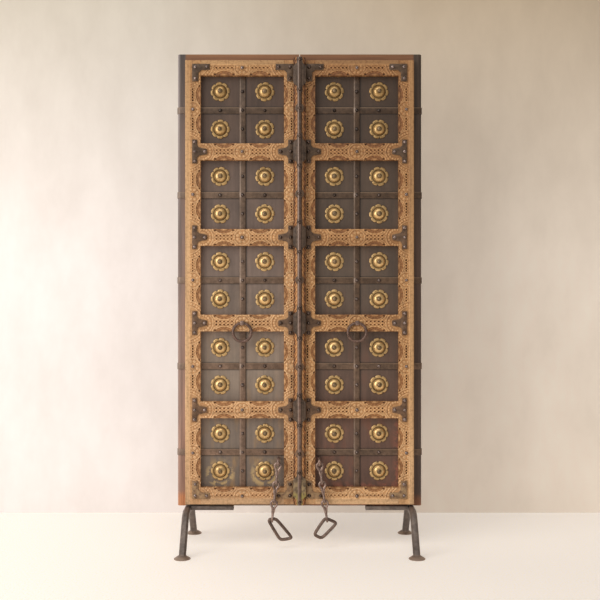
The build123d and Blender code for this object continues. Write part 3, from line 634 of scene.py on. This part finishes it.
# Tarnish and painted shade darken the sunk ring round the dome and the dips between the lobes; the
# rim is a little duller all over.
sunk_ring = 0.9 * np.clip(1.2 - np.abs(out - 0.0270) / 0.0026, 0, 1)
between_lobes = 0.8 * weight * dip ** 5
dull_rim = 0.2 * (out > 0.0285)
sunk_tarnish_and_shade = boss.data.attributes.new("cut", "FLOAT", "POINT")
sunk_tarnish_and_shade.data.foreach_set("value", sunk_ring + between_lobes + dull_rim)
bpy.ops.object.shade_smooth_by_angle(angle=math.radians(50))

brass, tree, shader = new_finish("boss_brass", 0.29, 0.65)
x, y, z = place_parts(tree)
brass_tones = [(0.3, tone(204, 163, 104)), (0.7, tone(234, 199, 143))]
colour = ramp(tree, grain(tree, (1, 1, 1), 120.0, 6.0), brass_tones)
dull = fade(tree, grain(tree, (1, 1, 1), 26.0, 4.0), (0.38, 0.74), (0.6, 1.06))
colour = mixed(tree, "MULTIPLY", 0.7, colour, dull)
tarnish = ramp(tree, up_door(tree, z), [(0.6, grey(1.0)), (0.9, (0.69, 0.66, 0.6, 1))])
colour = times(tree, colour, tarnish)
# The brass darkens by that value: tarnish and painted shade in the ring and between the lobes.
cut = tree.nodes.new("ShaderNodeAttribute")
cut.attribute_name = "cut"
colour = mixed(tree, "MIX", cut.outputs["Fac"], colour, tone(60, 45, 28))
tree.links.new(colour, shader.inputs["Base Color"])
rough_cut = fade(tree, cut.outputs["Fac"], (0.0, 0.29), (1.0, 0.75))
tree.links.new(rough_cut, shader.inputs["Roughness"])
raise_grain(tree, shader, grain(tree, (1, 1, 1), 90.0, 5.0), 0.0006, 0.6)


def gathered(pattern, places, name, finish, body, stands_for):
    """Copies of one modelled pattern at several places, joined; a place is a matrix."""
    bpy.ops.object.select_all(action="DESELECT")
    for place in places:
        copy = pattern.copy()
        copy.data = pattern.data.copy()
        copy.data.transform(place)
        bpy.context.scene.collection.objects.link(copy)
        copy.select_set(True)
        bpy.context.view_layer.objects.active = copy
    bpy.ops.object.join()
    group = bpy.context.object
    group.name = name
    group.data.materials.clear()
    group.data.materials.append(finish)
    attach(group, body)
    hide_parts(stands_for)
    return group


boss_beside, boss_beyond = 94.125, 79.15  # mm from the middle of a panel
panel_middles = [centre * 1000 for centre in panel_centres]


def boss_spots(sign):
    """Centres of the bosses of one leaf, x and z in mm, from the bottom panel up."""
    spots = []
    for middle in panel_middles:
        for row in (-1, 1):
            for column in (-1, 1):
                x = sign * leaf_middle + column * boss_beside
                spots.append((x, middle + row * boss_beyond))
    return spots


for side, sign in sides:
    places = []
    for number, (x, z) in enumerate(boss_spots(sign)):
        turn = Matrix.Rotation(math.radians(17 * number), 4, "Y")
        places.append(Matrix.Translation((x / 1000, plank_face_m, z / 1000)) @ turn)
    gathered(
        boss, places, f"{side}_bosses_pressed", brass, "door",
        f"{side}_brass_bosses")
bpy.data.objects.remove(boss)


# Nails. Forged iron nails with domed heads hold everything down: large ones
# through the bosses, small ones in the straps, plates, stiles and rails.
def domed_head(width, height, segments, rings):
    """One nail head standing on the origin and facing the front."""
    cut_at = 0.12
    bpy.ops.object.select_all(action="DESELECT")
    bpy.ops.mesh.primitive_uv_sphere_add(segments=segments, ring_count=rings, radius=1)
    head = bpy.context.object
    bpy.ops.object.mode_set(mode="EDIT")
    bpy.ops.mesh.select_all(action="SELECT")
    bpy.ops.mesh.bisect(
        plane_co=(0, 0, cut_at), plane_no=(0, 0, 1), clear_inner=True, use_fill=True)
    bpy.ops.mesh.select_all(action="SELECT")
    bpy.ops.transform.translate(value=(0, 0, -cut_at))
    bpy.ops.object.mode_set(mode="OBJECT")
    size = Matrix.Diagonal((width / 2, width / 2, height / (1 - cut_at), 1))
    head.data.transform(Matrix.Rotation(math.pi / 2, 4, "X") @ size)
    bpy.ops.object.shade_smooth_by_angle(angle=math.radians(50))
    return head


def head_places(spots, seed):
    """Matrices for heads at (x, level, z) in mm, each turned and sized a little differently."""
    chance = np.random.default_rng(seed)
    places = []
    for x, level, z in spots:
        size = 0.92 + 0.16 * chance.random()
        tall = 0.9 + 0.2 * chance.random()
        squash = Matrix.Diagonal((size, tall, size * (0.93 + 0.14 * chance.random()), 1))
        turn = Matrix.Rotation(chance.random() * math.pi, 4, "Y")
        places.append(Matrix.Translation((x / 1000, -level / 1000, z / 1000)) @ turn @ squash)
    return places


nail_iron = iron_finish("nail_iron", tone(86, 70, 64), tone(176, 157, 149), 0.75, 0.22, 160.0)
tree, base, rust = opened(nail_iron)
x, y, z = place_parts(tree)
# Painted shade: nails near the meeting line are darker, in the shade of the cover strip.
centre_shade_tones = [(0.12, (0.42, 0.38, 0.34, 1)), (0.3, grey(1.0))]
rust = times(tree, rust, ramp(tree, gap(tree, x, 0.0), centre_shade_tones))
darker = times(tree, rust, fade(tree, up_door(tree, z), (0.5, 0.75), (0.85, 0.3)))
in_strap = fade(tree, sums(tree, "ADD", y, 0.05), (0.024, 0.0), (0.029, 1.0))
tree.links.new(mixed(tree, "MIX", in_strap, rust, darker), base)
boss_nail_iron = iron_finish(
    "boss_nail_iron", tone(88, 69, 48), tone(150, 126, 94), 0.5, 0.34, 120.0)
large_head = domed_head(0.0205, 0.0085, 16, 10)
small_head = domed_head(0.0162, 0.0074, 8, 6)
rail_middles = [low + rail_tall / 2 for low in rail_lows]
plate_edges = ((451, -1), (27, 1))  # mm from the meeting line, and which way the plate reaches
frame_face, rosette_face, plate_face = 31, 32.8, 34
cross_face, upright_face, crossing_face, boss_face = 8, 9, 12.3, 21.2
for side, sign in sides:
    spots = []
    for x, z in boss_spots(sign):
        astray_x, astray_z = 1.2 * math.sin(7 * x + z), 1.2 * math.cos(5 * x + 3 * z)
        spots.append((x + astray_x, boss_face, z + astray_z))
    gathered(
        large_head, head_places(spots, 3 + sign), f"{side}_boss_nails_domed", boss_nail_iron,
        "door", f"{side}_boss_nails")
    centre = sign * leaf_middle
    spots = [(centre, frame_face, 215), (centre, frame_face, 2012.5)]
    for middle in panel_middles:
        spots += [(centre, crossing_face, middle), (sign * 448, frame_face, middle)]
        for turn in (-1, 1):
            spots.append((centre, upright_face, middle + turn * boss_beyond))
            spots.append((centre + turn * boss_beside, cross_face, middle))
    for number, middle in enumerate(rail_middles, start=1):
        for start, direction in plate_edges:
            x = sign * (start + direction * 10.5)
            spots += [(x, plate_face, middle + rise) for rise in (-40, 0, 40)]
            spots.append((sign * (start + direction * 52.5), plate_face, middle))
        if number != 2:
            spots.append((centre, rosette_face, middle))
    for start, direction in plate_edges:
        for corner, upward in ((204, 1), (2028.5, -1)):
            for over, rise in ((13, 13), (61, 13), (13, 61)):
                x = sign * (start + direction * over)
                spots.append((x, plate_face, corner + upward * rise))
    gathered(
        small_head, head_places(spots, 9 + sign), f"{side}_nails_domed", nail_iron,
        "door", f"{side}_forged_nails")


# Cover strip. A teak batten with scalloped edges is nailed over the meeting
# line on the left leaf. An iron spine runs down it, over clips at the rails
# and round discs at the panels, and nails hold them all to the batten.
across = np.linspace(-1, 1, 25)
heights = np.linspace(181, 2052, 520)
over, height = np.meshgrid(across, heights)
off_middle = np.abs(over)
wave = 0.5 + 0.5 * np.cos(2 * math.pi * height / 36 + 0.8 * np.sin(height / 57))
leaf = 0.5 + 0.5 * np.cos(2 * math.pi * (height / 18 + 3 * off_middle))
edge = np.clip((off_middle - 0.55) / 0.45, 0, 1)
side_cut = np.clip((off_middle - 0.42) / 0.08, 0, 1) * np.clip((1 - off_middle) / 0.1, 0, 1)
depth = -22 + 5.5 * edge ** 1.3 + 3.0 * wave * edge + (1.4 + 3.4 * leaf ** 2) * side_cut
half_wide = 26.4 - 2.6 * wave * edge
spots = (over * half_wide / 1000, height / 1000, depth)
cover = carved_board("cover_strip_carved", across, heights, spots, frame_face_m, -21.0)
cover_tones = (tone(196, 148, 101), tone(192, 144, 96), tone(152, 110, 72))
cover.data.materials.append(teak_finish("cover_teak", True, *cover_tones))
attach(cover, "door")
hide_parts("cover_strip")
spine_iron = iron_finish("spine_rust", tone(80, 63, 54), tone(126, 104, 92), 0.45, 0.36)
spine_upward = [(0.6, (1.18, 1.1, 1.06, 1)), (0.85, (0.72, 0.69, 0.62, 1))]
tree, base, rust = opened(spine_iron)
x, y, z = place_parts(tree)
rust = times(tree, rust, ramp(tree, up_door(tree, z), spine_upward))
# Painted light: a pale painted highlight runs down the spine's left edge, and its right edge is
# darkened with painted shade.
over = sums(tree, "ADD", x, 0.01)
rust = times(tree, rust, fade(tree, over, (0.012, 1.0), (0.0148, 0.5)))
spine_left_highlight = fade(tree, over, (0.0024, 0.0), (0.0034, 0.7), (0.0058, 0.6), (0.0072, 0.0))
tree.links.new(mixed(tree, "MIX", spine_left_highlight, rust, tone(168, 150, 140)), base)
spine = forged("cover_spine", 0.0, spine_iron)
flat = np.zeros(len(spine.data.vertices) * 3)
spine.data.vertices.foreach_get("co", flat)
flat = flat.reshape(-1, 3)
packed_front, ridge_front, ridge_share = -0.0545, -0.0612, 0.66
ridge = flat[:, 1] < packed_front
flat[ridge, 1] = ridge_front
flat[ridge, 0] *= ridge_share
spine.data.vertices.foreach_set("co", flat.ravel())
edges = spine.modifiers.new("edges", "BEVEL")
edges.width = 0.0022
edges.segments = 3
bpy.ops.object.modifier_apply(modifier="edges")
clip_iron = iron_finish("clip_rust", tone(56, 43, 34), tone(98, 79, 64), 0.35, 0.46)
tree, base, rust = opened(clip_iron)
x, y, z = place_parts(tree)
streaks = fade(tree, grain(tree, (190, 190, 6), 1.0, 6.0), (0.36, 0.6), (0.62, 1.35))
rust = times(tree, rust, streaks)
flakes = fade(tree, grain(tree, (1, 1, 1), 55.0, 8.0), (0.4, 0.15), (0.56, 0.85))
pale_foot = times(tree, flakes, fade(tree, z, (0.25, 1.0), (0.32, 0.0)))
rust = mixed(tree, "MIX", pale_foot, rust, tone(170, 146, 108))
green_foot = times(tree, flakes, fade(tree, z, (0.228, 1.0), (0.238, 0.0)))
tree.links.new(mixed(tree, "MIX", green_foot, rust, tone(152, 138, 72)), base)
forged("cover_clips", 0.0009, clip_iron)
forged("cover_discs", 0.0009, plate_iron)
spine_face = 60.4
spots = [(0, spine_face, middle) for middle in panel_middles]
for middle in [254.5] + rail_middles + [1978.5]:
    spots += [(0, spine_face, middle + turn * 61.74) for turn in (-1, 1)]
gathered(
    small_head, head_places(spots, 21), "cover_nails_domed", nail_iron,
    "door", "cover_nails")
bpy.data.objects.remove(large_head)
bpy.data.objects.remove(small_head)


# Pull rings. A round iron ring hangs in a strip staple driven through the
# second rail of each leaf, and swings on the staple.
chain_iron = iron_finish("chain_rust", tone(100, 79, 70), tone(172, 147, 135), 0.55, 0.32, 110.0)
ring_iron = iron_finish("ring_rust", tone(74, 55, 47), tone(130, 104, 92), 0.45, 0.4, 110.0)
for side, sign in sides:
    forged(f"{side}_ring_staple", 0.0012, chain_iron)
    bpy.ops.object.select_all(action="DESELECT")
    bpy.ops.mesh.primitive_torus_add(
        major_radius=0.0385, minor_radius=0.006, major_segments=72, minor_segments=16,
        location=(sign * leaf_middle / 1000, -0.039, 0.902491), rotation=(math.pi / 2, 0, 0),
    )
    ring = bpy.context.object
    ring.name = f"{side}_ring_round"
    bpy.ops.object.transform_apply()
    bpy.ops.object.shade_smooth()
    ring.data.materials.append(ring_iron)
    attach(ring, f"{side}_ring")
    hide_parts(f"{side}_ring")


# Chains. Each hangs from a staple low on the leaf: three twisted links and one
# heavy end link, all bent by hand from iron bar and closed over each other.
def rounded_bar(piece, fatten, body, finish):
    """A copy of a packed link with its bar made round and its bends smooth."""
    bar = forged(piece, 0.0, finish, body)
    bpy.ops.object.mode_set(mode="EDIT")
    bpy.ops.mesh.select_all(action="SELECT")
    bpy.ops.transform.shrink_fatten(value=fatten)
    bpy.ops.object.mode_set(mode="OBJECT")
    bpy.ops.object.mode_set(mode="EDIT")
    bpy.ops.mesh.subdivide(number_cuts=1)
    bpy.ops.object.mode_set(mode="OBJECT")
    bends = bar.modifiers.new("bends", "SUBSURF")
    bends.levels = 2
    bends.render_levels = 2
    bpy.ops.object.modifier_apply(modifier="bends")
    bpy.ops.object.shade_smooth()
    return bar


end_iron = iron_finish("end_link_rust", tone(80, 63, 54), tone(132, 110, 98), 0.5, 0.4, 110.0)
for side, _ in sides:
    rounded_bar(f"{side}_chain_staple", 0.002, "door", chain_iron)
    for number in (1, 2, 3):
        rounded_bar(f"{side}_link_{number}", 0.0018, f"{side}_link_{number}", chain_iron)
    rounded_bar(f"{side}_end_link", 0.0014, f"{side}_end_link", end_iron)


# Stands. A bar of forged iron is bent into two splayed legs with flared feet,
# and carries a flat bearer that is screwed up into the leaf.
stand_iron = iron_finish("stand_iron", tone(88, 78, 72), tone(128, 115, 107), 0.4, 0.42, 60.0)
tree, base, rust = opened(stand_iron)
x, y, z = place_parts(tree)
dusty = fade(tree, z, (0.008, 0.75), (0.02, 0.0))
tree.links.new(mixed(tree, "MIX", dusty, rust, tone(158, 136, 118)), base)
for side, _ in sides:
    forged(f"{side}_stand", 0.0015, stand_iron)
forged("bearer_screws", 0.0008, stand_iron)


# Tie bars. Two flat steel bars are screwed across the meeting line at the
# back, and hold the two leaves together as one standing piece.
tie_steel = iron_finish("tie_steel", tone(48, 44, 40), tone(72, 66, 60), 0.4, 0.5)
forged("back_tie_bars", 0.0008, tie_steel)
forged("tie_screws", 0.0008, tie_steel)


# Studio. A pale speckled floor runs back to a pale plaster wall, soft light
# comes from a broad window on the left and from above, and the camera stands
# level in front. The wall is clear from behind and casts no shadow.
bpy.ops.object.select_all(action="DESELECT")
bpy.ops.mesh.primitive_plane_add(size=14, location=(0, -3, 0))
floor = bpy.context.object
floor.name = "studio_floor"
bpy.ops.mesh.primitive_plane_add(size=14, location=(0, 0.633, 3), rotation=(math.pi / 2, 0, 0))
wall = bpy.context.object
wall.name = "studio_wall"
# Painted light: the floor glows, which keeps it bright in the door's shadow and lights the door
# from below, and the wall glows faintly.
for surface, glow in ((floor, 0.345), (wall, 0.05)):
    finish, tree, shader = new_finish(f"{surface.name}_paint", 0.9)
    shader.inputs["Emission Color"].default_value = tone(250, 243, 234)
    shader.inputs["Emission Strength"].default_value = glow
    surface.data.materials.append(finish)
tree = floor.data.materials[0].node_tree
speckle_tones = [(0.35, tone(214, 205, 196)), (0.65, tone(234, 227, 220))]
speckle = ramp(tree, grain(tree, (1, 1, 1), 140.0, 2.0), speckle_tones)
tree.links.new(speckle, tree.nodes["Principled BSDF"].inputs["Base Color"])
tree = wall.data.materials[0].node_tree
shader = tree.nodes["Principled BSDF"]
x, y, z = place_parts(tree)
# Painted shade: the wall is darker and warmer towards its top, most of all to the right, and a
# little cooler low on the left, standing in for the window's light falling off across it.
up_wall = sums(tree, "DIVIDE", sums(tree, "ADD", y, 2.2), 2.0)
along_wall = sums(tree, "DIVIDE", sums(tree, "ADD", x, 1.0), 2.0)
foot_tones = [(0.15, (0.95, 0.955, 1.03, 1)), (0.8, (1.04, 1.0, 0.96, 1))]
head_shade_tones = [(0.15, (0.6, 0.585, 0.535, 1)), (0.8, (0.56, 0.475, 0.355, 1))]
mottle_tones = [(0.33, (0.945, 0.935, 0.925, 1)), (0.67, grey(1.04))]
foot_of_wall = ramp(tree, along_wall, foot_tones)
shaded_head_of_wall = ramp(tree, along_wall, head_shade_tones)
to_head = fade(tree, up_wall, (0.2, 0.0), (0.9, 1.0))
plaster_and_shade = mixed(tree, "MIX", to_head, foot_of_wall, shaded_head_of_wall)
plaster_and_shade = times(tree, plaster_and_shade, tone(247, 239, 229))
mottle = ramp(tree, grain(tree, (2.4, 1.1, 1), 2.2, 8.0, 0.62), mottle_tones)
tree.links.new(times(tree, plaster_and_shade, mottle), shader.inputs["Base Color"])
face = tree.nodes.new("ShaderNodeNewGeometry")
path = tree.nodes.new("ShaderNodeLightPath")
unseen = sums(tree, "MAXIMUM", face.outputs["Backfacing"], path.outputs["Is Shadow Ray"])
clear = tree.nodes.new("ShaderNodeBsdfTransparent")
either = tree.nodes.new("ShaderNodeMixShader")
tree.links.new(unseen, either.inputs["Fac"])
tree.links.new(shader.outputs["BSDF"], either.inputs[1])
tree.links.new(clear.outputs["BSDF"], either.inputs[2])
tree.links.new(either.outputs["Shader"], tree.nodes["Material Output"].inputs["Surface"])
lamp = bpy.data.lights.new("window", "AREA")
lamp.shape = "RECTANGLE"
lamp.size = 3.0
lamp.size_y = 3.0
lamp.energy = 106
lamp.color = (1.0, 0.975, 0.94)
window = bpy.data.objects.new("window", lamp)
window.location = (-3.2, -2.6, 2.1)
to_door = Vector((0, 0, 1.0)) - window.location
window.rotation_euler = to_door.to_track_quat("-Z", "Y").to_euler()
bpy.context.scene.collection.objects.link(window)
above_lamp = bpy.data.lights.new("skylight", "AREA")
above_lamp.size = 3.5
above_lamp.energy = 58
above_lamp.color = (1.0, 0.98, 0.95)
skylight = bpy.data.objects.new("skylight", above_lamp)
skylight.location = (-0.6, -2.6, 4.2)
bpy.context.scene.collection.objects.link(skylight)
world = bpy.data.worlds.new("room")
world.use_nodes = True
background = world.node_tree.nodes["Background"]
background.inputs["Color"].default_value = (1.0, 0.97, 0.93, 1)
background.inputs["Strength"].default_value = 0.34
bpy.context.scene.world = world
bpy.context.scene.view_settings.view_transform = "Standard"
view = bpy.data.cameras.new("view")
view.sensor_fit = "HORIZONTAL"
view.angle = math.radians(34.94)
view.shift_x = 0.4 / 600
view.shift_y = 4 / 600
camera = bpy.data.objects.new("view", view)
camera.location = (0, -4.031, 1.021)
camera.rotation_euler = (math.pi / 2, 0, 0)
bpy.context.scene.collection.objects.link(camera)
bpy.context.scene.camera = camera
